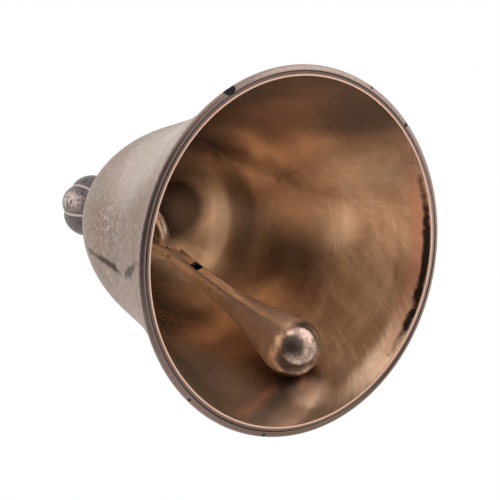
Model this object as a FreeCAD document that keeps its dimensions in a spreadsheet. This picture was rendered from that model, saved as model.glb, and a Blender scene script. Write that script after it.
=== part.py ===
import FreeCAD, Part
import math
import os
import Sketcher

# A six-inch ship's bell with its crown knob and its clapper gear. Millimetres and degrees.
# The origin is the centre of the mouth, +Z runs up the bell's axis, and the bell stands on its lip.
# The clapper gear is stored lying against the wall of the bell, in the vertical swing plane.

DIMENSIONS = [
    # name, value, what it is
    ("crown_top", 131.6, "height of the flat that the collar sits on"),
    ("crown_ceiling", 128.2, "height of the inside flat that the washer bears on"),
    ("crown_hole_radius", 3.3, "clearance hole for the stem"),
    ("crown_land_radius", 9.0, "radius of both flats of the crown"),
    ("lip_radius", 76.0, "widest circle of the lip"),
    ("lip_height", 1.7, "height of the widest circle"),
    ("lip_inner_radius", 71.5, "sharp inner edge of the lip face"),
    ("lip_groove_radius", 73.5, "middle of the fine groove turned in the lip face"),
    ("lip_groove_half_width", 0.35, "half the width of that groove"),
    ("lip_groove_depth", 0.35, "depth of that groove"),
    ("lip_round", 2.0, "rounding of the outer corner of the lip"),
    ("cone_low_radius", 71.6, "outside radius where the lip meets the flared cone"),
    ("cone_low_height", 6.9, "height of that circle"),
    ("cone_high_radius", 58.2, "outside radius where the flared cone meets the waist"),
    ("cone_high_height", 38.5, "height of that circle"),
    ("waist_radius", 49.4, "outside radius low on the waist"),
    ("waist_height", 64.0, "height of that circle"),
    ("neck_radius", 44.6, "outside radius where the waist meets the shoulder"),
    ("neck_height", 82.0, "height of that circle"),
    ("shoulder_radius", 31.5, "outside radius where the shoulder meets the crown"),
    ("shoulder_height", 112.0, "height of that circle"),
    ("dome_radius", 22.0, "outside radius part way over the crown"),
    ("dome_height", 123.9, "height of that circle"),
    ("cone_wall", 2.6, "level thickness of the wall at the cone"),
    ("waist_wall", 2.7, "level thickness of the wall at the waist"),
    ("shoulder_wall", 3.3, "level thickness of the wall at the shoulder"),
    ("dome_wall", 3.6, "level thickness of the wall over the crown"),
    ("dome_drop", 1.9, "how far the inside of the crown lies below the outside at that circle"),
    ("shoulder_drop", 0.4, "the same at the shoulder"),
    ("stem_radius", 3.0, "stem of the yoke bolt"),
    ("stem_top", 149.5, "upper end of the stem, inside the knob"),
    ("collar_radius", 10.4, "collar under the knob"),
    ("collar_top", 133.0, "top of the collar"),
    ("washer_radius", 7.0, "washer inside the crown"),
    ("washer_bottom", 127.0, "underside of that washer"),
    ("knob_foot_radius", 9.4, "foot of the knob"),
    ("knob_neck_radius", 8.7, "neck of the knob"),
    ("knob_neck_height", 138.5, "height of the neck"),
    ("knob_belly_radius", 11.0, "core of the knob between the lobes"),
    ("lobe_height", 150.2, "height of the middle of the lobes"),
    ("lobe_offset", 5.6, "distance of a lobe's centre from the axis"),
    ("lobe_level_radius", 9.2, "level semi-axis of a lobe"),
    ("lobe_upright_radius", 14.0, "upright semi-axis of a lobe"),
    ("lobe_count", 6, "number of lobes"),
    ("lobe_first", 30.0, "azimuth of the first lobe"),
    ("button_radius", 6.3, "small button on top of the knob"),
    ("button_top", 165.6, "top of that button"),
    ("socket_radius", 4.0, "M8 hanging socket in the top of the knob"),
    ("socket_bottom", 153.6, "bottom of that socket"),
    ("knob_bore_gap", 0.05, "clearance of the knob's bore over the stem"),
    ("swing_azimuth", -160.8, "direction of the swing plane, towards the resting ball"),
    ("yoke_pin_height", 111.3, "pin that the hanger's eye rides on"),
    ("yoke_pin_radius", 2.0, "radius of that pin"),
    ("yoke_gap", 5.2, "gap between the ears of the yoke"),
    ("yoke_ear", 2.6, "thickness of one ear"),
    ("yoke_half_width", 4.6, "half the width of the yoke, and the radius of its ends"),
    ("yoke_slot_top", 120.3, "top of the gap between the ears"),
    ("rivet_head_radius", 3.3, "heads of the yoke pin"),
    ("rivet_head_height", 1.4, "height of those heads"),
    ("running_gap", 0.04, "radial clearance of a pin in its hole"),
    ("eye_offset", 3.15, "centre of the hanger's eye, out from the bell's axis"),
    ("eye_height", 107.16, "height of that centre"),
    ("eye_radius", 9.7, "radius of the eye, to the middle of the rod"),
    ("eye_end", 303.0, "how far the rod is bent round"),
    ("rod_radius", 2.2, "rod of the hanger"),
    ("shank_length", 12.6, "straight rod below the eye"),
    ("tongue_half_width", 2.9, "half the width of the flattened tongue"),
    ("tongue_thickness", 3.0, "thickness of the tongue"),
    ("tongue_tail", 9.6, "tongue past the clapper pin"),
    ("clapper_pin_offset", 17.74, "clapper pin, out from the bell's axis"),
    ("clapper_pin_height", 89.83, "height of the clapper pin"),
    ("clapper_pin_radius", 1.3, "radius of that pin"),
    ("clapper_lean", 24.25, "lean of the clapper from upright"),
    ("head_radius", 4.1, "forked head of the clapper"),
    ("head_top", 3.9, "head above the pin"),
    ("head_round", 0.9, "rounding of the top of the head"),
    ("slot_width", 3.4, "slot in the head"),
    ("slot_bottom", 12.4, "slot below the pin"),
    ("flat_depth", 0.4, "how deep the flats down the shaft are filed"),
    ("flat_end", 33.0, "lower end of those flats"),
    ("flare_top_radius", 4.8, "shaft where it starts to flare"),
    ("flare_top", 25.7, "distance of that circle below the pin"),
    ("flare_low_radius", 9.4, "shaft where the flare is straight again"),
    ("flare_low", 57.7, "distance of that circle below the pin"),
    ("flare_curve", 156.0, "radius of the curve between them"),
    ("ball_radius", 12.7, "ball of the clapper"),
    ("ball_centre", 72.24, "ball's centre below the pin"),
    ("ball_cone", 14.0, "half-angle of the cone that runs into the ball"),
]

document = FreeCAD.newDocument("ShipBell")
sheet = document.addObject("Spreadsheet::Sheet", "Sizes")
for row, (name, value, meaning) in enumerate(DIMENSIONS, start=1):
    sheet.set("A%d" % row, name)
    sheet.set("B%d" % row, str(value))
    sheet.set("C%d" % row, meaning)
    sheet.setAlias("B%d" % row, name)
document.recompute()


class Size:
    """A number together with the sheet expression that gives it."""

    def __init__(self, value, text):
        self.value = float(value)
        self.text = text

    @staticmethod
    def of(other):
        if isinstance(other, Size):
            return other
        return Size(other, repr(float(other)))

    def _with(self, other, sign, value):
        return Size(value, "(%s %s %s)" % (self.text, sign, Size.of(other).text))

    def __add__(self, other):
        return self._with(other, "+", self.value + Size.of(other).value)

    def __sub__(self, other):
        return self._with(other, "-", self.value - Size.of(other).value)

    def __mul__(self, other):
        return self._with(other, "*", self.value * Size.of(other).value)

    def __truediv__(self, other):
        return self._with(other, "/", self.value / Size.of(other).value)

    def __neg__(self):
        return Size(-self.value, "(0 - %s)" % self.text)


def size(name):
    return Size(sheet.get(name), "Sizes." + name)


def cosine(angle):
    return Size(math.cos(math.radians(angle.value)), "cos(%s)" % angle.text)


def sine(angle):
    return Size(math.sin(math.radians(angle.value)), "sin(%s)" % angle.text)


def root(number):
    return Size(math.sqrt(number.value), "sqrt(%s)" % number.text)


ZERO = Size(0.0, "0")


def new_body(label):
    body = document.addObject("PartDesign::Body", "Body_" + label)
    body.Label = label
    return body


def new_sketch(body, name, plane):
    """A sketch on one of the body's own origin planes."""
    sketch = body.newObject("Sketcher::SketchObject", name)
    face = [item for item in body.Origin.OriginFeatures if item.Role == plane][0]
    sketch.AttachmentSupport = [(face, "")]
    sketch.MapMode = "FlatFace"
    return sketch


def bind(sketch, kind, arguments, amount):
    """A driving dimension whose value comes from the sheet."""
    index = sketch.addConstraint(Sketcher.Constraint(kind, *arguments, amount.value))
    sketch.setExpression("Constraints[%d]" % index, amount.text)


def arc_between(start, end, radius):
    """The arc shorter than half a turn; it bulges to the right of travel when the radius is positive."""
    chord = end - start
    across = FreeCAD.Vector(-chord.y, chord.x, 0)
    across.normalize()
    rise = math.sqrt(radius * radius - chord.Length ** 2 / 4.0)
    centre = (start + end) * 0.5 + across * math.copysign(rise, radius)
    circle = Part.Circle(centre, FreeCAD.Vector(0, 0, 1), abs(radius))
    first, last = (start, end) if radius > 0 else (end, start)
    angles = [math.atan2(point.y - centre.y, point.x - centre.x) for point in (first, last)]
    return Part.ArcOfCircle(circle, angles[0], angles[1])


def draw_outline(sketch, path):
    """
    A closed outline through the points of path. An entry (x, y) runs straight to the next point, and
    (x, y, radius) runs along an arc to it. A radius of "tangent" continues the run before it smoothly.
    """
    corners = [FreeCAD.Vector(entry[0].value, entry[1].value, 0) for entry in path]
    count = len(path)
    ends = []
    heading = None
    for index, entry in enumerate(path):
        start = corners[index]
        end = corners[(index + 1) % count]
        smooth = len(entry) == 3 and entry[2] == "tangent"
        if len(entry) == 2:
            shape = sketch.addGeometry(Part.LineSegment(start, end), False)
            ends.append((shape, 1, 2))
            heading = end - start
            continue
        if smooth:
            turn = math.atan2((end - start).y, (end - start).x) - math.atan2(heading.y, heading.x)
            radius = (end - start).Length / (2.0 * math.sin(turn))
        else:
            radius = entry[2].value
        arc = arc_between(start, end, radius)
        shape = sketch.addGeometry(arc, False)
        ends.append((shape, 1, 2) if radius > 0 else (shape, 2, 1))
        spoke = end - arc.Center
        heading = FreeCAD.Vector(-spoke.y, spoke.x, 0) * math.copysign(1.0, radius)
        if smooth:
            before = ends[index - 1]
            sketch.addConstraint(Sketcher.Constraint("Tangent", before[0], before[2], shape, ends[index][1]))
        else:
            bind(sketch, "Radius", (shape,), Size.of(entry[2]) if radius > 0 else -Size.of(entry[2]))
    for index, entry in enumerate(path):
        before = ends[index - 1]
        here = ends[index]
        if len(entry) == 2 or entry[2] != "tangent":
            sketch.addConstraint(Sketcher.Constraint("Coincident", before[0], before[2], here[0], here[1]))
        bind(sketch, "DistanceX", (-1, 1, here[0], here[1]), entry[0])
        bind(sketch, "DistanceY", (-1, 1, here[0], here[1]), entry[1])


def draw_circle(sketch, x, y, radius):
    circle = Part.Circle(FreeCAD.Vector(x.value, y.value, 0), FreeCAD.Vector(0, 0, 1), radius.value)
    shape = sketch.addGeometry(circle, False)
    bind(sketch, "Radius", (shape,), radius)
    bind(sketch, "DistanceX", (-1, 1, shape, 3), x)
    bind(sketch, "DistanceY", (-1, 1, shape, 3), y)


def turn(body, name, path, cut=False, plane="XZ_Plane", axis="V_Axis"):
    """A turned solid, or a turned cut, about an axis of the sketch."""
    sketch = new_sketch(body, name + "Outline", plane)
    draw_outline(sketch, path)
    document.recompute()
    feature = body.newObject("PartDesign::Groove" if cut else "PartDesign::Revolution", name)
    feature.Profile = sketch
    feature.ReferenceAxis = (sketch, [axis])
    feature.Angle = 360.0
    document.recompute()
    return feature


def extrude(body, name, sketch, thickness, cut=False):
    """A pad, or a pocket, half of it on each side of the sketch."""
    feature = body.newObject("PartDesign::Pocket" if cut else "PartDesign::Pad", name)
    feature.Profile = sketch
    feature.SideType = "Symmetric"
    feature.Type = "Length"
    feature.setExpression("Length", thickness.text)
    document.recompute()
    return feature


def rectangle(left, bottom, right, top):
    return [(left, bottom), (right, bottom), (right, top), (left, top)]


def place(body, x, y, z, yaw=ZERO, pitch=ZERO):
    """Tip the body about its own Y axis, turn it about Z and set it down at x, y, z."""
    text = "placement(vector(%s; %s; %s); rotation(%s; %s; 0))"
    body.setExpression("Placement", text % (x.text, y.text, z.text, yaw.text, pitch.text))


swing = size("swing_azimuth")
axis_x = cosine(swing)
axis_y = sine(swing)

# --- bell_body: one shell, turned inside and out -------------------------------------------------

bell = new_body("bell_body")
groove = size("lip_groove_radius")
groove_half = size("lip_groove_half_width")
lip = size("lip_radius")
cone_low = size("cone_low_radius")
cone_low_z = size("cone_low_height")
cone_high = size("cone_high_radius")
cone_high_z = size("cone_high_height")
waist = size("waist_radius")
waist_z = size("waist_height")
neck = size("neck_radius")
neck_z = size("neck_height")
shoulder = size("shoulder_radius")
shoulder_z = size("shoulder_height")
dome = size("dome_radius")
dome_z = size("dome_height")
land = size("crown_land_radius")
hole = size("crown_hole_radius")
top = size("crown_top")
ceiling = size("crown_ceiling")
turn(bell, "Shell", [
    (size("lip_inner_radius"), ZERO),
    (groove - groove_half, ZERO),
    (groove, size("lip_groove_depth")),
    (groove + groove_half, ZERO, size("lip_round")),
    (lip, size("lip_height"), -size("lip_round") * 5.5),
    (cone_low, cone_low_z),
    (cone_high, cone_high_z, "tangent"),
    (waist, waist_z, "tangent"),
    (neck, neck_z, "tangent"),
    (shoulder, shoulder_z, "tangent"),
    (dome, dome_z, "tangent"),
    (land, top),
    (ZERO, top),
    (ZERO, ZERO),
])
turn(bell, "Cavity", [
    (ZERO, ZERO),
    (size("lip_inner_radius"), ZERO),
    (cone_high - size("cone_wall"), cone_high_z, "tangent"),
    (waist - size("waist_wall"), waist_z, "tangent"),
    (neck - size("waist_wall"), neck_z, "tangent"),
    (shoulder - size("shoulder_wall"), shoulder_z - size("shoulder_drop"), "tangent"),
    (dome - size("dome_wall"), dome_z - size("dome_drop"), "tangent"),
    (land - 0.8, ceiling),
    (ZERO, ceiling),
], cut=True)
turn(bell, "StemHole", rectangle(ZERO, ceiling - 1.0, hole, top + 1.0), cut=True)

# --- crown_knob: six lobes on a turned core -------------------------------------------------------

knob = new_body("crown_knob")
foot = size("collar_top")
lobe_z = size("lobe_height")
button = size("button_radius")
turn(knob, "Core", [
    (ZERO, foot),
    (size("knob_foot_radius"), foot),
    (size("knob_foot_radius"), foot + 1.2, -size("knob_foot_radius")),
    (size("knob_neck_radius"), size("knob_neck_height")),
    (size("knob_belly_radius"), lobe_z),
    (button, lobe_z + size("lobe_upright_radius") * 0.8),
    (button, size("button_top") - 0.6, Size(0.6, "0.6")),
    (button - 0.6, size("button_top")),
    (ZERO, size("button_top")),
])
lobe = knob.newObject("PartDesign::AdditiveEllipsoid", "Lobe")
lobe.setExpression("Radius1", size("lobe_upright_radius").text)
lobe.setExpression("Radius2", size("lobe_level_radius").text)
lobe.setExpression("Radius3", size("lobe_level_radius").text)
lobe.Angle1 = -90.0
lobe.Angle2 = 90.0
lobe.Angle3 = 360.0
lobe.setExpression("Placement", "placement(vector(%s; %s; %s); rotation(%s; 0; 0))" % (
    (size("lobe_offset") * cosine(size("lobe_first"))).text,
    (size("lobe_offset") * sine(size("lobe_first"))).text,
    lobe_z.text,
    size("lobe_first").text,
))
document.recompute()
upright = [item for item in knob.Origin.OriginFeatures if item.Role == "Z_Axis"][0]
lobes = knob.newObject("PartDesign::PolarPattern", "Lobes")
lobes.Originals = [lobe]
lobes.Axis = (upright, [""])
lobes.Angle = 360.0
lobes.setExpression("Occurrences", size("lobe_count").text)
knob.Tip = lobes
document.recompute()
bore = size("stem_radius") + size("knob_bore_gap")
turn(knob, "StemBore", rectangle(ZERO, foot, bore, size("stem_top") + 0.5), cut=True)
socket = size("socket_radius")
turn(knob, "HangingSocket", [
    (ZERO, size("socket_bottom")),
    (socket, size("socket_bottom")),
    (socket, size("button_top") - 0.5),
    (socket + 0.5, size("button_top")),
    (ZERO, size("button_top")),
], cut=True)

# --- crown_collar and yoke_washer: turned rings on the stem -----------------------------------------

ring_bore = size("stem_radius") + 0.3
collar = new_body("crown_collar")
turn(collar, "Ring", [
    (ring_bore, top),
    (size("collar_radius") - 0.3, top),
    (size("collar_radius"), top + 0.3),
    (size("collar_radius"), foot - 0.5, Size(0.5, "0.5")),
    (size("collar_radius") - 0.5, foot),
    (ring_bore, foot),
])

washer = new_body("yoke_washer")
turn(washer, "Ring", rectangle(ring_bore, size("washer_bottom"), size("washer_radius"), ceiling))

# --- yoke_bolt: stem through the crown, forked yoke below it ---------------------------------------

bolt = new_body("yoke_bolt")
place(bolt, ZERO, ZERO, ZERO, yaw=swing)
half = size("yoke_half_width")
pin_z = size("yoke_pin_height")
yoke_side = new_sketch(bolt, "YokeOutline", "XZ_Plane")
draw_outline(yoke_side, [
    (-half, pin_z, half * 1.0001),
    (half, pin_z),
    (half, size("washer_bottom")),
    (-half, size("washer_bottom")),
])
document.recompute()
extrude(bolt, "Yoke", yoke_side, size("yoke_gap") + size("yoke_ear") * 2)
turn(bolt, "Stem", [
    (ZERO, size("washer_bottom") - 1.0),
    (size("stem_radius"), size("washer_bottom") - 1.0),
    (size("stem_radius"), size("stem_top") - 0.6),
    (size("stem_radius") - 0.6, size("stem_top")),
    (ZERO, size("stem_top")),
])
gap_sketch = new_sketch(bolt, "GapOutline", "YZ_Plane")
gap_half = size("yoke_gap") / 2
draw_outline(gap_sketch, rectangle(-gap_half, pin_z - half * 2, gap_half, size("yoke_slot_top")))
document.recompute()
extrude(bolt, "Gap", gap_sketch, half * 4, cut=True)
yoke_hole = new_sketch(bolt, "PinHoleOutline", "XZ_Plane")
draw_circle(yoke_hole, ZERO, pin_z, size("yoke_pin_radius") + size("running_gap"))
document.recompute()
extrude(bolt, "PinHole", yoke_hole, half * 4, cut=True)

# --- yoke_pin: rivet through both ears, its axis level --------------------------------------------

rivet = new_body("yoke_pin")
place(rivet, ZERO, ZERO, pin_z, yaw=swing)
ear_face = size("yoke_gap") / 2 + size("yoke_ear")
head_rim = size("rivet_head_radius")
head_end = ear_face + size("rivet_head_height")
turn(rivet, "Rivet", [
    (-head_end, ZERO),
    (head_end, ZERO),
    (head_end, head_rim * 0.55, size("rivet_head_height") * 1.5),
    (ear_face + 0.02, head_rim),
    (ear_face + 0.02, size("yoke_pin_radius")),
    (-ear_face - 0.02, size("yoke_pin_radius")),
    (-ear_face - 0.02, head_rim, size("rivet_head_height") * 1.5),
    (-head_end, head_rim * 0.55),
], plane="YZ_Plane", axis="H_Axis")

# --- hanger: rod bent into an eye above, flattened into a tongue below ------------------------------
# Its own origin is the middle of the eye, with the straight shank along -Z at x = eye_radius.

hanger = new_body("hanger")
eye = size("eye_radius")
eye_x = size("eye_offset")
eye_z = size("eye_height")
reach_x = size("clapper_pin_offset") - eye_x
reach_z = eye_z - size("clapper_pin_height")
reach = root(reach_x * reach_x + reach_z * reach_z)
drop = root(reach * reach - eye * eye)
hanger_lean = Size(
    math.degrees(math.atan2(reach_x.value, reach_z.value) - math.asin(eye.value / reach.value)),
    "((atan(%s / %s) - asin(%s / %s)) / 1deg)" % (reach_x.text, reach_z.text, eye.text, reach.text),
)
place(hanger, eye_x * axis_x, eye_x * axis_y, eye_z, yaw=swing, pitch=-hanger_lean)
shank_end = size("shank_length")
rod_path = new_sketch(hanger, "RodPath", "XZ_Plane")
shank = rod_path.addGeometry(
    Part.LineSegment(FreeCAD.Vector(eye.value, -shank_end.value, 0), FreeCAD.Vector(eye.value, 0, 0)), False)
loop = rod_path.addGeometry(
    Part.ArcOfCircle(
        Part.Circle(FreeCAD.Vector(0, 0, 0), FreeCAD.Vector(0, 0, 1), eye.value),
        0.0,
        math.radians(size("eye_end").value),
    ), False)
rod_path.addConstraint(Sketcher.Constraint("Coincident", loop, 3, -1, 1))
rod_path.addConstraint(Sketcher.Constraint("Coincident", shank, 2, loop, 1))
rod_path.addConstraint(Sketcher.Constraint("Vertical", shank))
bind(rod_path, "DistanceX", (-1, 1, shank, 2), eye)
bind(rod_path, "DistanceY", (shank, 1, shank, 2), shank_end)
rod_path.addConstraint(Sketcher.Constraint("PointOnObject", loop, 1, -1))
bind(rod_path, "DistanceX", (-1, 1, loop, 2), eye * cosine(size("eye_end")))
rod_section = new_sketch(hanger, "RodSection", "XY_Plane")
rod_section.setExpression("AttachmentOffset.Base.z", (-shank_end).text)
draw_circle(rod_section, eye, ZERO, size("rod_radius"))
document.recompute()
rod = hanger.newObject("PartDesign::AdditivePipe", "Rod")
rod.Profile = rod_section
rod.Spine = (rod_path, ["Edge1", "Edge2"])
document.recompute()
tongue_side = new_sketch(hanger, "TongueOutline", "XZ_Plane")
tongue_half = size("tongue_half_width")
tongue_low = -(drop + size("tongue_tail"))
tongue_corner = Size(1.2, "1.2")
draw_outline(tongue_side, [
    (eye - tongue_half, tongue_low + tongue_corner, tongue_corner),
    (eye - tongue_half + tongue_corner, tongue_low),
    (eye + tongue_half - tongue_corner, tongue_low, tongue_corner),
    (eye + tongue_half, tongue_low + tongue_corner),
    (eye + tongue_half, -shank_end - 0.7),
    (eye + size("rod_radius") - 0.2, -shank_end + 0.6),
    (eye - size("rod_radius") + 0.2, -shank_end + 0.6),
    (eye - tongue_half, -shank_end - 0.7),
])
document.recompute()
extrude(hanger, "Tongue", tongue_side, size("tongue_thickness"))
tongue_hole = new_sketch(hanger, "TongueHoleOutline", "XZ_Plane")
draw_circle(tongue_hole, eye, -drop, size("clapper_pin_radius") + size("running_gap"))
document.recompute()
extrude(hanger, "TongueHole", tongue_hole, size("tongue_thickness") * 3, cut=True)

# --- clapper: forked head, flaring shaft and ball, turned in one piece -----------------------------
# Its own origin is the clapper pin, with the shaft along -Z.

clapper = new_body("clapper")
pin_out = size("clapper_pin_offset")
place(clapper, pin_out * axis_x, pin_out * axis_y, size("clapper_pin_height"),
      yaw=swing, pitch=-size("clapper_lean"))
head = size("head_radius")
head_round = size("head_round")
ball = size("ball_radius")
ball_z = -size("ball_centre")
turn(clapper, "Turned", [
    (ZERO, ball_z - ball, ball),
    (ball * cosine(size("ball_cone")), ball_z + ball * sine(size("ball_cone"))),
    (size("flare_low_radius"), -size("flare_low"), -size("flare_curve")),
    (size("flare_top_radius"), -size("flare_top")),
    (head, -size("slot_bottom")),
    (head, size("head_top") - head_round, head_round),
    (head - head_round, size("head_top")),
    (ZERO, size("head_top")),
])
slot_sketch = new_sketch(clapper, "SlotOutline", "YZ_Plane")
slot_half = size("slot_width") / 2
draw_outline(slot_sketch, rectangle(-slot_half, -size("slot_bottom"), slot_half, size("head_top") * 2))
document.recompute()
extrude(clapper, "Slot", slot_sketch, head * 4, cut=True)
flats_sketch = new_sketch(clapper, "FlatsOutline", "XZ_Plane")
flat_top = head - size("flat_depth")
flat_low = size("flare_top_radius") + 0.5 - size("flat_depth")
for side in (1, -1):
    draw_outline(flats_sketch, [
        (flat_top * side, size("head_top") * 2),
        (flat_top * side, -size("slot_bottom")),
        (flat_low * side, -size("flat_end")),
        (head * 3 * side, -size("flat_end")),
        (head * 3 * side, size("head_top") * 2),
    ])
document.recompute()
extrude(clapper, "Flats", flats_sketch, head * 4, cut=True)
clapper_hole = new_sketch(clapper, "PinHoleOutline", "XZ_Plane")
draw_circle(clapper_hole, ZERO, ZERO, size("clapper_pin_radius") + 0.02)
document.recompute()
extrude(clapper, "PinHole", clapper_hole, head * 4, cut=True)

# --- clapper_pin: plain rivet, filed flush with the head --------------------------------------------

small_pin = new_body("clapper_pin")
place(small_pin, pin_out * axis_x, pin_out * axis_y, size("clapper_pin_height"), yaw=swing)
pin_half = head - 0.3
turn(small_pin, "Rivet", [
    (-pin_half, ZERO),
    (pin_half, ZERO),
    (pin_half, size("clapper_pin_radius")),
    (-pin_half, size("clapper_pin_radius")),
], plane="YZ_Plane", axis="H_Axis")

# --- check and export ---------------------------------------------------------------------------------

document.recompute()
nodes = [bell, knob, collar, washer, bolt, rivet, hanger, clapper, small_pin]
for item in document.Objects:
    state = item.State
    if "Invalid" in state or "Error" in state:
        raise RuntimeError("%s is %s" % (item.Name, state))
os.makedirs("parts", exist_ok=True)
for node in nodes:
    if node.Shape.isNull() or not node.Shape.isValid() or len(node.Shape.Solids) != 1:
        raise RuntimeError("%s is not one valid solid" % node.Label)
    node.Shape.exportStep("parts/%s.step" % node.Label)
    print("%-14s %9.1f mm3" % (node.Label, node.Shape.Volume))
print("hanger lean", round(hanger_lean.value, 3), "drop", round(drop.value, 3))
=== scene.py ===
import math

import bpy
from mathutils import Matrix, Vector

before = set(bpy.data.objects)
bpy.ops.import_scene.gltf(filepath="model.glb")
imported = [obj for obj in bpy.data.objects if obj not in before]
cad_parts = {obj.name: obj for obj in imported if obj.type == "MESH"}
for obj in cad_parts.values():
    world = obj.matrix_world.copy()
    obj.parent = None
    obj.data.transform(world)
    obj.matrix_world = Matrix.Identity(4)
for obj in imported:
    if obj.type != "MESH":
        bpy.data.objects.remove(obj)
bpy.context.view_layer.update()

# ---- camera: below the mouth, looking up and along the bell --------------------------------------

LOOK = Vector((-0.49628, 0.35640, 0.79163))
RIGHT = Vector((-0.49599, 0.63199, -0.59547))
UP = Vector((0.71253, 0.68816, 0.13687))

camera_data = bpy.data.cameras.new("camera")
camera = bpy.data.objects.new("camera", camera_data)
bpy.context.scene.collection.objects.link(camera)
camera.matrix_world = Matrix((
    (RIGHT.x, UP.x, -LOOK.x, 0.46280),
    (RIGHT.y, UP.y, -LOOK.y, -0.33625),
    (RIGHT.z, UP.z, -LOOK.z, -0.71028),
    (0.0, 0.0, 0.0, 1.0),
))
camera_data.sensor_width = 36.0
camera_data.lens = 162.72
camera_data.clip_start = 0.05
camera_data.clip_end = 50.0
bpy.context.scene.camera = camera
bpy.context.scene.view_settings.view_transform = "Standard"


def toward(right, up, back):
    """A direction given by how far it leans to the picture's right, to its top and to the viewer."""
    return (RIGHT * right + UP * up - LOOK * back).normalized()


# ---- node helper ----------------------------------------------------------------------------------

MM = 0.001
PATCH_DEPTH = 0.02  # how fast a patch fades through the wall, per millimetre


def rgb(red, green, blue):
    """An opaque colour."""
    return (red, green, blue, 1.0)


WHITE = rgb(1.0, 1.0, 1.0)
BLACK = rgb(0.0, 0.0, 0.0)


class Nodes:
    """Builds one node tree; sockets are passed around as values."""

    def __init__(self, tree):
        self.tree = tree
        self.tree.nodes.clear()

    def new(self, kind, **settings):
        node = self.tree.nodes.new(kind)
        for key, value in settings.items():
            setattr(node, key, value)
        return node

    def put(self, socket, value):
        if isinstance(value, bpy.types.NodeSocket):
            self.tree.links.new(value, socket)
        else:
            socket.default_value = value

    def math(self, operation, a, b=0.0):
        node = self.new("ShaderNodeMath", operation=operation)
        self.put(node.inputs[0], a)
        self.put(node.inputs[1], b)
        return node.outputs[0]

    def add(self, a, b):
        return self.math("ADD", a, b)

    def sub(self, a, b):
        return self.math("SUBTRACT", a, b)

    def mul(self, a, b):
        return self.math("MULTIPLY", a, b)

    def inverse(self, a):
        return self.math("SUBTRACT", 1.0, a)

    def most(self, first, *others):
        """The largest of several values."""
        for other in others:
            first = self.math("MAXIMUM", first, other)
        return first

    def vector(self, operation, a, b=(0.0, 0.0, 0.0)):
        node = self.new("ShaderNodeVectorMath", operation=operation)
        self.put(node.inputs[0], a)
        self.put(node.inputs[1], b)
        return node.outputs["Value" if operation in ("DOT_PRODUCT", "LENGTH", "DISTANCE") else "Vector"]

    def ramp(self, value, low, high, out_low=0.0, out_high=1.0):
        """Smooth step from out_low at low to out_high at high."""
        node = self.new("ShaderNodeMapRange", interpolation_type="SMOOTHSTEP")
        for name, number in (("Value", value), ("From Min", low), ("From Max", high),
                             ("To Min", out_low), ("To Max", out_high)):
            self.put(node.inputs[name], number)
        return node.outputs[0]

    def band(self, value, low, high, edge):
        """1 between low and high, fading over edge on both sides."""
        rise = self.ramp(value, low - edge, low + edge)
        fall = self.ramp(value, high - edge, high + edge, 1.0, 0.0)
        return self.mul(rise, fall)

    def mix(self, amount, a, b):
        node = self.new("ShaderNodeMix", data_type="RGBA")
        self.put(node.inputs["Factor"], amount)
        self.put(node.inputs[6], a)
        self.put(node.inputs[7], b)
        return node.outputs[2]

    def layers(self, colour, *layers):
        """Lays colours over a colour in turn: each is (pattern, low, high, share at low, share at high, colour)."""
        for pattern, low, high, share_low, share_high, over in layers:
            colour = self.mix(self.ramp(pattern, low, high, share_low, share_high), colour, over)
        return colour

    def noise(self, where, scale, detail, roughness, distortion=0.0):
        node = self.new("ShaderNodeTexNoise")
        self.put(node.inputs["Vector"], where)
        for name, number in (("Scale", scale), ("Detail", detail), ("Roughness", roughness),
                             ("Distortion", distortion)):
            node.inputs[name].default_value = number
        return node.outputs["Fac"]

    def join(self, x, y, z):
        node = self.new("ShaderNodeCombineXYZ")
        for socket, value in zip(node.inputs, (x, y, z)):
            self.put(socket, value)
        return node.outputs[0]

    def split(self, vector):
        node = self.new("ShaderNodeSeparateXYZ")
        self.put(node.inputs[0], vector)
        return node.outputs

    def bump(self, height, distance, strength=1.0, normal=None):
        node = self.new("ShaderNodeBump")
        node.inputs["Strength"].default_value = strength
        node.inputs["Distance"].default_value = distance
        self.put(node.inputs["Height"], height)
        if normal is not None:
            self.put(node.inputs["Normal"], normal)
        return node.outputs[0]


def metal(name, metallic):
    """A new metal material, with its node builder, its shader and its object coordinates."""
    material = bpy.data.materials.new(name)
    material.use_nodes = True
    n = Nodes(material.node_tree)
    shader = n.new("ShaderNodeBsdfPrincipled")
    shader.inputs["Metallic"].default_value = metallic
    output = n.new("ShaderNodeOutputMaterial")
    n.tree.links.new(shader.outputs[0], output.inputs["Surface"])
    where = n.new("ShaderNodeTexCoord").outputs["Object"]
    return material, n, shader, where


def wear(material, *nodes):
    for node in nodes:
        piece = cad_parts[node]
        piece.data.materials.clear()
        piece.data.materials.append(material)
        for polygon in piece.data.polygons:
            polygon.use_smooth = True


def around_bell(azimuth, radius, height):
    """A point at an azimuth in degrees, a distance from the axis and a height, in millimetres."""
    angle = math.radians(azimuth)
    return Vector((radius * math.cos(angle), radius * math.sin(angle), height)) * MM


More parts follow.
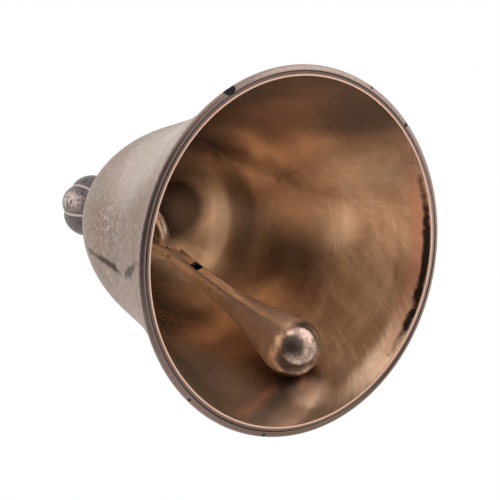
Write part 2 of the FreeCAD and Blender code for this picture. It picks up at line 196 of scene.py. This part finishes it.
def patch(n, where, place, wide, tall, edge, ragged, rough, lean=0.0):
    """A mask, 1 on a patch of wall round a place given as for around_bell.

    It fades out at half-width wide and half-height tall, in millimetres, over a share edge of them. The pattern
    rough makes its outline ragged, and the whole patch leans by lean degrees.
    """
    centre = around_bell(*place)
    sideways = Vector((-centre.y, centre.x, 0.0)).normalized()
    upright = Vector((0.0, 0.0, 1.0))
    outwards = sideways.cross(upright)
    spin = Matrix.Rotation(math.radians(lean), 3, outwards)
    offset = n.vector("SUBTRACT", where, tuple(centre))
    across = n.mul(n.vector("DOT_PRODUCT", offset, tuple(spin @ sideways)), 1.0 / (wide * MM))
    upward = n.mul(n.vector("DOT_PRODUCT", offset, tuple(spin @ upright)), 1.0 / (tall * MM))
    through = n.mul(n.vector("DOT_PRODUCT", offset, tuple(outwards)), PATCH_DEPTH / MM)
    reach = n.vector("LENGTH", n.join(across, upward, through))
    reach = n.add(reach, n.mul(n.sub(rough, 0.5), ragged))
    return n.ramp(reach, 1.0 + edge, 1.0 - edge)


# ---- bell: silver plate outside, bare copper alloy inside -----------------------------------------

BELL_HEART = (0.0, 0.0, 30.0 * MM)
LIP_GROOVE = (73.4 * MM, 73.8 * MM)
LIP_HIGHLIGHT_LINE = (72.0 * MM, 72.4 * MM)
# heights over which the outside is lightened just above the lip, a painted highlight
RIM_HIGHLIGHT_BAND = (11.5 * MM, 3.0 * MM)

bell, n, shader, where = metal("bell_metal", 0.84)
x, y, z = n.split(where)
radius = n.vector("LENGTH", n.join(x, y, 0.0))
turn = n.math("ARCTAN2", y, x)
facing = n.new("ShaderNodeTexCoord").outputs["Normal"]
outward = n.vector("DOT_PRODUCT", facing, n.vector("SUBTRACT", where, BELL_HEART))
outside = n.ramp(outward, -0.002, 0.002)
lip = n.mul(n.ramp(z, 2.9 * MM, 1.9 * MM), n.ramp(radius, 71.25 * MM, 71.45 * MM))

cloud = n.noise(where, 30.0, 5.0, 0.6, 0.4)
blotch = n.noise(where, 80.0, 7.0, 0.68, 0.8)
speck = n.noise(where, 600.0, 4.0, 0.7)
grain = n.noise(where, 1600.0, 3.0, 0.7)


def streaks(turns, climb, lift, offset, *noise):
    """Noise drawn out round the bell: turns sets its length, climb its lean and lift its fineness up the wall."""
    return n.noise(n.join(n.add(n.mul(turn, turns), n.mul(z, climb)), n.mul(z, lift), offset), 1.0, *noise)


rings = n.noise(n.join(n.mul(turn, 2.5), n.mul(z, 900.0), 0.0), 1.0, 4.0, 0.65)
wide_rings = n.noise(n.join(n.mul(turn, 1.4), n.mul(z, 110.0), 3.0), 1.0, 5.0, 0.6, 0.6)
drift = streaks(3.6, 34.0, 30.0, 11.0, 9.0, 0.7, 0.9)
slant = streaks(26.0, 420.0, 55.0, 7.0, 5.0, 0.65, 0.4)
scratches = streaks(9.0, 1300.0, 40.0, 1.0, 2.0, 0.5)
radial = n.noise(n.join(n.mul(turn, 380.0), n.mul(radius, 500.0), 0.0), 1.0, 3.0, 0.6)

# silver plate, worn thin
silver = n.mix(n.ramp(cloud, 0.38, 0.62), rgb(0.29, 0.225, 0.17), rgb(0.37, 0.235, 0.17))
silver = n.layers(
    silver,
    (wide_rings, 0.45, 0.72, 0.0, 0.5, rgb(0.50, 0.42, 0.33)),
    (blotch, 0.46, 0.66, 0.0, 0.5, rgb(0.30, 0.225, 0.19)),
    (slant, 0.52, 0.70, 0.0, 0.4, rgb(0.66, 0.56, 0.51)),
    (speck, 0.38, 0.66, 0.45, 0.0, rgb(0.20, 0.16, 0.14)),
    (scratches, 0.70, 0.76, 0.0, 0.5, rgb(0.86, 0.80, 0.76)),
    (grain, 0.35, 0.65, 0.32, 0.0, rgb(0.16, 0.125, 0.11)),
)
less_worn = patch(n, where, (-8.0, 56.0, 42.0), 20.0, 40.0, 0.6, 1.0, cloud)
silver = n.mix(less_worn, silver, rgb(0.55, 0.475, 0.43))
pits = n.most(patch(n, where, (-41.0, 49.2, 64.5), 9.0, 15.0, 0.9, 1.6, blotch),
              patch(n, where, (-38.0, 56.5, 42.7), 5.0, 9.0, 0.5, 1.2, blotch))
silver = n.mix(n.mul(pits, n.ramp(speck, 0.57, 0.66, 0.0, 0.7)), silver, rgb(0.88, 0.78, 0.72))
stain = n.most(patch(n, where, (-62.0, 48.0, 66.0), 1.5, 22.0, 0.5, 3.0, blotch),
               patch(n, where, (-57.0, 61.0, 30.0), 2.2, 14.0, 0.5, 3.0, blotch, lean=23.0))
silver = n.mix(n.mul(stain, 0.9), silver, rgb(0.12, 0.10, 0.085))
silver = n.vector("MULTIPLY", silver, (0.90, 0.86, 0.83))
# painted highlight: the outside is lighter in a band just above the lip
silver = n.mix(n.ramp(z, *RIM_HIGHLIGHT_BAND, 0.0, 0.85), silver, rgb(0.90, 0.79, 0.74))

# the plate's sheen at a grazing angle, dulled by the same wear
sheen = n.mix(n.ramp(blotch, 0.40, 0.62), rgb(0.80, 0.80, 0.79), rgb(1.0, 0.99, 0.98))
sheen = n.mix(n.ramp(speck, 0.42, 0.62, 0.45, 0.0), sheen, rgb(0.34, 0.32, 0.31))
sheen = n.mix(n.ramp(z, *RIM_HIGHLIGHT_BAND), sheen, WHITE)
sheen = n.mix(n.mul(stain, 0.75), sheen, rgb(0.14, 0.125, 0.12))

# bare copper alloy, darker low down and higher up on one side, with painted highlights and painted dark reflections
copper = n.mix(n.ramp(cloud, 0.36, 0.64), rgb(0.80, 0.59, 0.43), rgb(0.88, 0.675, 0.505))
# copper darker low down and higher up on one side
darker_low = n.mul(patch(n, where, (158.0, 59.0, 24.0), 58.0, 40.0, 0.5, 1.0, cloud),
                 n.ramp(drift, 0.64, 0.44, 0.72, 1.0))
darker_high = n.mul(patch(n, where, (152.0, 43.0, 78.0), 16.0, 18.0, 0.5, 1.0, cloud), 0.8)
darker = n.most(darker_low, darker_high)
copper = n.mix(n.mul(darker, 0.95), copper, rgb(0.215, 0.125, 0.072))
copper = n.layers(
    copper,
    (wide_rings, 0.42, 0.70, 0.0, 0.45, rgb(0.56, 0.41, 0.30)),
    (slant, 0.50, 0.75, 0.0, 0.12, rgb(0.92, 0.76, 0.62)),
    (blotch, 0.52, 0.78, 0.0, 0.5, rgb(0.34, 0.24, 0.18)),
    (speck, 0.35, 0.65, 0.22, 0.0, rgb(0.25, 0.17, 0.12)),
    (grain, 0.35, 0.65, 0.25, 0.0, rgb(0.30, 0.20, 0.14)),
    (rings, 0.52, 0.70, 0.0, 0.25, rgb(0.40, 0.28, 0.20)),
)
# painted highlights: lighter copper standing in for reflections round the crown, near the lip and under the ball
painted_highlights = n.most(
    patch(n, where, (130.0, 34.5, 101.0), 24.0, 4.4, 0.35, 0.5, cloud),
    patch(n, where, (176.0, 69.5, 4.0), 24.0, 5.0, 0.6, 1.4, slant),
    patch(n, where, (68.0, 50.0, 55.0), 30.0, 34.0, 0.6, 1.0, cloud),
    patch(n, where, (-157.0, 65.0, 14.0), 9.0, 8.0, 0.4, 0.8, blotch),
    n.mul(patch(n, where, (127.0, 52.0, 48.0), 11.0, 17.0, 0.5, 1.4, cloud), 0.6),
    patch(n, where, (-129.0, 54.0, 48.0), 16.0, 22.0, 0.6, 1.0, cloud),
)
copper = n.mix(n.mul(painted_highlights, 0.85), copper, rgb(1.0, 0.81, 0.65))
tarnish = patch(n, where, (93.0, 45.0, 74.0), 26.0, 6.5, 0.5, 2.8, blotch, lean=-57.0)
copper = n.mix(n.mul(tarnish, 0.75), copper, rgb(0.30, 0.20, 0.14))
# painted dark reflection: the copper darkened round the crown and in a ring below it
crown_dark_reflection = n.mul(patch(n, where, (122.0, 24.0, 116.5), 16.0, 9.5, 0.35, 0.8, cloud), 0.95)
dark_reflection_ring = n.mul(patch(n, where, (125.0, 39.0, 90.0), 30.0, 6.5, 0.5, 1.0, blotch), 0.6)
copper = n.mix(n.most(crown_dark_reflection, dark_reflection_ring), copper, rgb(0.085, 0.06, 0.045))
# a reddish-brown band just inside the lip
reddish_band = n.mul(patch(n, where, (133.0, 69.0, 4.5), 44.0, 4.5, 0.4, 1.6, blotch), 0.55)
copper = n.mix(reddish_band, copper, rgb(0.42, 0.20, 0.14))
# painted dark reflection: a near-black strip just inside the lip
inner_rim_dark_reflection = patch(n, where, (137.0, 70.8, 1.8), 31.0, 2.1, 0.35, 2.2, blotch)
copper = n.mix(inner_rim_dark_reflection, copper, rgb(0.012, 0.010, 0.010))

# lip: two rings either side of the groove, painted light and shade round it, a painted highlight along the inner
# edge, and chips
inner_ring = rgb(0.20, 0.135, 0.11)
lip_colour = n.mix(n.ramp(radius, *LIP_GROOVE), inner_ring, rgb(0.30, 0.22, 0.19))
painted_lit_ring = n.mix(n.ramp(radius, *LIP_GROOVE), inner_ring, rgb(0.46, 0.36, 0.32))
# painted light on the lip at 70 and 146 degrees, painted shade at -158 degrees
for azimuth, wide, painted_tone_there in (
    (70.0, 62.0, painted_lit_ring),
    (146.0, 52.0, rgb(0.42, 0.32, 0.28)),
    (-158.0, 56.0, rgb(0.18, 0.13, 0.095)),
):
    there = patch(n, where, (azimuth, 76.0, 1.0), wide, 60.0, 0.4, 0.6, cloud)
    lip_colour = n.mix(there, lip_colour, painted_tone_there)
# painted highlight: a bright line along the lip's inner edge
lip_colour = n.mix(n.ramp(radius, *reversed(LIP_HIGHLIGHT_LINE)), lip_colour, rgb(0.98, 0.63, 0.48))
lip_colour = n.mix(n.ramp(radial, 0.35, 0.75, 0.55, 0.0), lip_colour, rgb(0.12, 0.08, 0.07))
lip_colour = n.mix(n.ramp(radius, 75.7 * MM, 75.95 * MM, 0.0, 0.45), lip_colour, rgb(0.60, 0.50, 0.46))


def distance_to(*place):
    return n.vector("DISTANCE", where, tuple(around_bell(*place)))


ragged_distance = n.add(distance_to(12.0, 76.4, 0.6), n.mul(n.sub(speck, 0.5), 1.2 * MM))
chips = n.ramp(ragged_distance, 3.1 * MM, 2.9 * MM)
for azimuth, distance, width in ((69.0, 75.4, 1.0), (88.0, 74.4, 1.0), (-97.0, 75.6, 0.9), (-129.0, 75.4, 1.1)):
    small = n.ramp(distance_to(azimuth, distance, 0.2), width * 1.2 * MM, width * 0.7 * MM)
    chips = n.most(chips, small)
chips = n.mul(chips, n.ramp(radius, 73.2 * MM, 73.6 * MM))
lip_colour = n.mix(chips, lip_colour, rgb(0.012, 0.012, 0.014))
lip_colour = n.mix(n.ramp(radius, *LIP_HIGHLIGHT_LINE, 0.0, 0.1), lip_colour, BLACK)

colour = n.mix(outside, copper, silver)
colour = n.mix(lip, colour, lip_colour)
n.put(shader.inputs["Base Color"], colour)
n.put(shader.inputs["Specular Tint"], n.mix(n.mul(outside, n.inverse(lip)), WHITE, sheen))

rough_in = n.add(n.add(0.14, n.mul(blotch, 0.10)), n.mul(n.add(tarnish, darker), 0.05))
rough_out = n.add(n.add(0.30, n.mul(blotch, 0.20)), n.mul(stain, -0.1))
rough = n.add(n.mul(n.inverse(outside), rough_in), n.mul(outside, rough_out))
n.put(shader.inputs["Roughness"], rough)
dents = n.bump(n.noise(where, 30.0, 3.0, 0.45), 1.2 * MM, 0.5)
dents = n.bump(drift, 0.45 * MM, 0.2, dents)
turned = n.bump(n.add(n.mul(rings, 0.7), n.mul(scratches, -0.6)), 0.05 * MM, 0.5, dents)
fine = n.bump(n.add(speck, n.mul(pits, n.mul(blotch, 2.0))), 0.06 * MM, 0.5, turned)
n.put(shader.inputs["Normal"], fine)
wear(bell, "bell_body")

# ---- knob and collar: near-black patina, rubbed through in places, with painted glints along the creases and a painted reflection ---

LOBES = 6

dark, n, shader, where = metal("knob_bronze", 1.0)
x, y, z = n.split(where)
turn = n.math("ARCTAN2", y, x)
patches = n.noise(where, 260.0, 6.0, 0.7, 0.8)
flutes = n.noise(n.join(n.mul(turn, 30.0), n.mul(z, 60.0), 0.0), 1.0, 3.0, 0.6)
fold = n.math("ABSOLUTE", n.math("SINE", n.mul(turn, LOBES / 2)))
# lighter along the creases: partly wear, partly a painted glint
crease_wear_and_glint = n.mul(n.ramp(fold, 0.17, 0.05), n.ramp(patches, 0.25, 0.5, 0.4, 1.0))
# a pinkish patch: partly rubbed-through wear, partly a painted reflection
rubbed_and_reflection = n.mul(patch(n, where, (-32.0, 14.5, 150.0), 4.2, 7.5, 0.5, 3.0, patches), n.ramp(patches, 0.40, 0.54))
colour = n.mix(n.ramp(patches, 0.35, 0.7), rgb(0.060, 0.052, 0.052), rgb(0.17, 0.145, 0.145))
colour = n.mix(n.ramp(flutes, 0.45, 0.75, 0.0, 0.4), colour, rgb(0.22, 0.19, 0.18))
colour = n.mix(rubbed_and_reflection, colour, rgb(0.58, 0.45, 0.42))
colour = n.mix(crease_wear_and_glint, colour, rgb(0.50, 0.40, 0.36))
n.put(shader.inputs["Base Color"], colour)
n.put(shader.inputs["Roughness"], n.add(0.32, n.mul(patches, 0.25)))
n.put(shader.inputs["Normal"], n.bump(n.add(n.mul(flutes, 0.6), patches), 0.25 * MM, 0.5))
wear(dark, "crown_knob", "crown_collar")

# ---- clapper gear: satin copper brown, the ball's tip rubbed smooth and darker in colour, painted shadow in the slot ---

BALL = Vector((-45.0, -15.67, 24.0)) * MM
BALL_TO_SHAFT = (0.39, 0.14, 0.91)
CLAPPER_PIN = Vector((-16.754, -5.834, 89.83)) * MM
DOWN_THE_CLAPPER = (-0.3879, -0.1351, -0.9118)
PIN_AXIS = (0.328867, -0.944376, 0.0)

gear, n, shader, where = metal("gear_bronze", 0.8)
mottle = n.noise(where, 120.0, 6.0, 0.65, 0.5)
smear = n.noise(where, 260.0, 7.0, 0.7, 1.2)
speck = n.noise(where, 1300.0, 3.0, 0.7)
colour = n.mix(n.ramp(mottle, 0.35, 0.68), rgb(0.82, 0.64, 0.51), rgb(0.98, 0.80, 0.66))
colour = n.mix(n.ramp(smear, 0.56, 0.74, 0.0, 0.5), colour, rgb(0.28, 0.18, 0.14))
colour = n.mix(n.ramp(speck, 0.45, 0.65, 0.0, 0.35), colour, rgb(0.40, 0.27, 0.20))
up_the_ball = n.vector("DOT_PRODUCT", n.vector("SUBTRACT", where, tuple(BALL)), BALL_TO_SHAFT)
tip = n.ramp(up_the_ball, 4.5 * MM, -3.0 * MM)
# the ball's tip is darker in colour than the rest of the clapper
tip_colour = n.mix(n.ramp(smear, 0.46, 0.64, 0.0, 0.75), rgb(0.46, 0.33, 0.265), rgb(0.17, 0.115, 0.09))
tip_colour = n.mix(n.ramp(speck, 0.56, 0.68, 0.0, 0.6), tip_colour, rgb(0.20, 0.14, 0.12))
colour = n.mix(tip, colour, tip_colour)
from_pin = n.vector("SUBTRACT", where, tuple(CLAPPER_PIN))
below = n.vector("DOT_PRODUCT", from_pin, DOWN_THE_CLAPPER)
across = n.math("ABSOLUTE", n.vector("DOT_PRODUCT", from_pin, PIN_AXIS))
# painted shadow: near-black at the bottom of the clapper's slot
slot_shadow = n.mul(n.band(below, 8.0 * MM, 12.6 * MM, 0.2 * MM), n.ramp(across, 1.80 * MM, 1.72 * MM))
colour = n.mix(slot_shadow, colour, rgb(0.02, 0.015, 0.012))
n.put(shader.inputs["Base Color"], colour)
n.put(shader.inputs["Roughness"], n.add(n.ramp(tip, 0.0, 1.0, 0.34, 0.13), n.mul(n.ramp(smear, 0.45, 0.7), 0.12)))
coarse = n.bump(n.noise(where, 160.0, 6.0, 0.65), 0.30 * MM, 0.45)
n.put(shader.inputs["Normal"], n.bump(n.add(speck, smear), 0.06 * MM, 0.5, coarse))
wear(gear, "clapper", "hanger", "clapper_pin", "yoke_bolt", "yoke_pin", "yoke_washer")

# ---- studio ------------------------------------------------------------------------------------------

world = bpy.data.worlds.new("studio")
bpy.context.scene.world = world
world.use_nodes = True
n = Nodes(world.node_tree)
direction = n.new("ShaderNodeTexCoord").outputs["Generated"]
to_viewer = n.vector("DOT_PRODUCT", direction, tuple(toward(0, 0, 1)))
to_top = n.vector("DOT_PRODUCT", direction, tuple(toward(0, 1, 0)))


def round_viewer(outer, inner):
    """1 within inner degrees of the viewer, 0 past outer degrees."""
    return n.ramp(to_viewer, math.cos(math.radians(outer)), math.cos(math.radians(inner)))


# a light tent with a darker opening round the viewer, lit again from its lower edge
shade = round_viewer(60, 38)
core = round_viewer(26, 15)
level = n.add(n.mul(n.inverse(shade), 1.25), n.mul(shade, n.add(0.13, n.mul(core, -0.10))))
level = n.add(level, n.mul(shade, n.ramp(to_top, -0.30, -0.62, 0.0, 0.45)))
background = n.new("ShaderNodeBackground")
n.put(background.inputs["Color"], n.join(level, n.mul(level, 0.98), n.mul(level, 0.96)))
plain = n.new("ShaderNodeBackground")
plain.inputs["Color"].default_value = WHITE
rays = n.new("ShaderNodeLightPath")
blend = n.new("ShaderNodeMixShader")
n.put(blend.inputs[0], rays.outputs["Is Camera Ray"])
n.put(blend.inputs[1], background.outputs[0])
n.put(blend.inputs[2], plain.outputs[0])
surface = n.new("ShaderNodeOutputWorld")
n.put(surface.inputs["Surface"], blend.outputs[0])

CENTRE = Vector((0.0, 0.0, 0.05))
LAMP_DISTANCE = 1.0
LAMP_TINT = (1.0, 0.98, 0.96)


def softbox(name, aim, side, power):
    """A square lamp in the direction aim, facing the bell."""
    data = bpy.data.lights.new(name, "AREA")
    data.shape = "RECTANGLE"
    data.size = side
    data.size_y = side
    data.energy = power
    data.color = LAMP_TINT
    lamp = bpy.data.objects.new(name, data)
    bpy.context.scene.collection.objects.link(lamp)
    lamp.location = CENTRE + aim * LAMP_DISTANCE
    lamp.rotation_mode = "QUATERNION"
    lamp.rotation_quaternion = aim.to_track_quat("Z", "Y")


softbox("key", toward(0.78, 0.61, 0.11), side=0.9, power=3.0)
softbox("top", toward(-0.05, 0.85, 0.53), side=0.45, power=0.8)

# ---- floor: far below, since the view looks up into the mouth ---------------------------------------

FLOOR_REACH = 6.0
FLOOR_HEIGHT = -2.5

floor_mesh = bpy.data.meshes.new("floor")
corners = [(FLOOR_REACH * side, FLOOR_REACH * end, 0.0) for side, end in ((-1, -1), (1, -1), (1, 1), (-1, 1))]
floor_mesh.from_pydata(corners, [], [(0, 1, 2, 3)])
floor = bpy.data.objects.new("floor", floor_mesh)
bpy.context.scene.collection.objects.link(floor)
floor.location = (0.0, 0.0, FLOOR_HEIGHT)
floor.visible_glossy = False
floor.visible_diffuse = False
floor_material = bpy.data.materials.new("floor")
floor_material.use_nodes = True
floor_shader = floor_material.node_tree.nodes["Principled BSDF"]
floor_shader.inputs["Base Color"].default_value = rgb(0.85, 0.85, 0.84)
floor_shader.inputs["Roughness"].default_value = 0.9
floor_mesh.materials.append(floor_material)
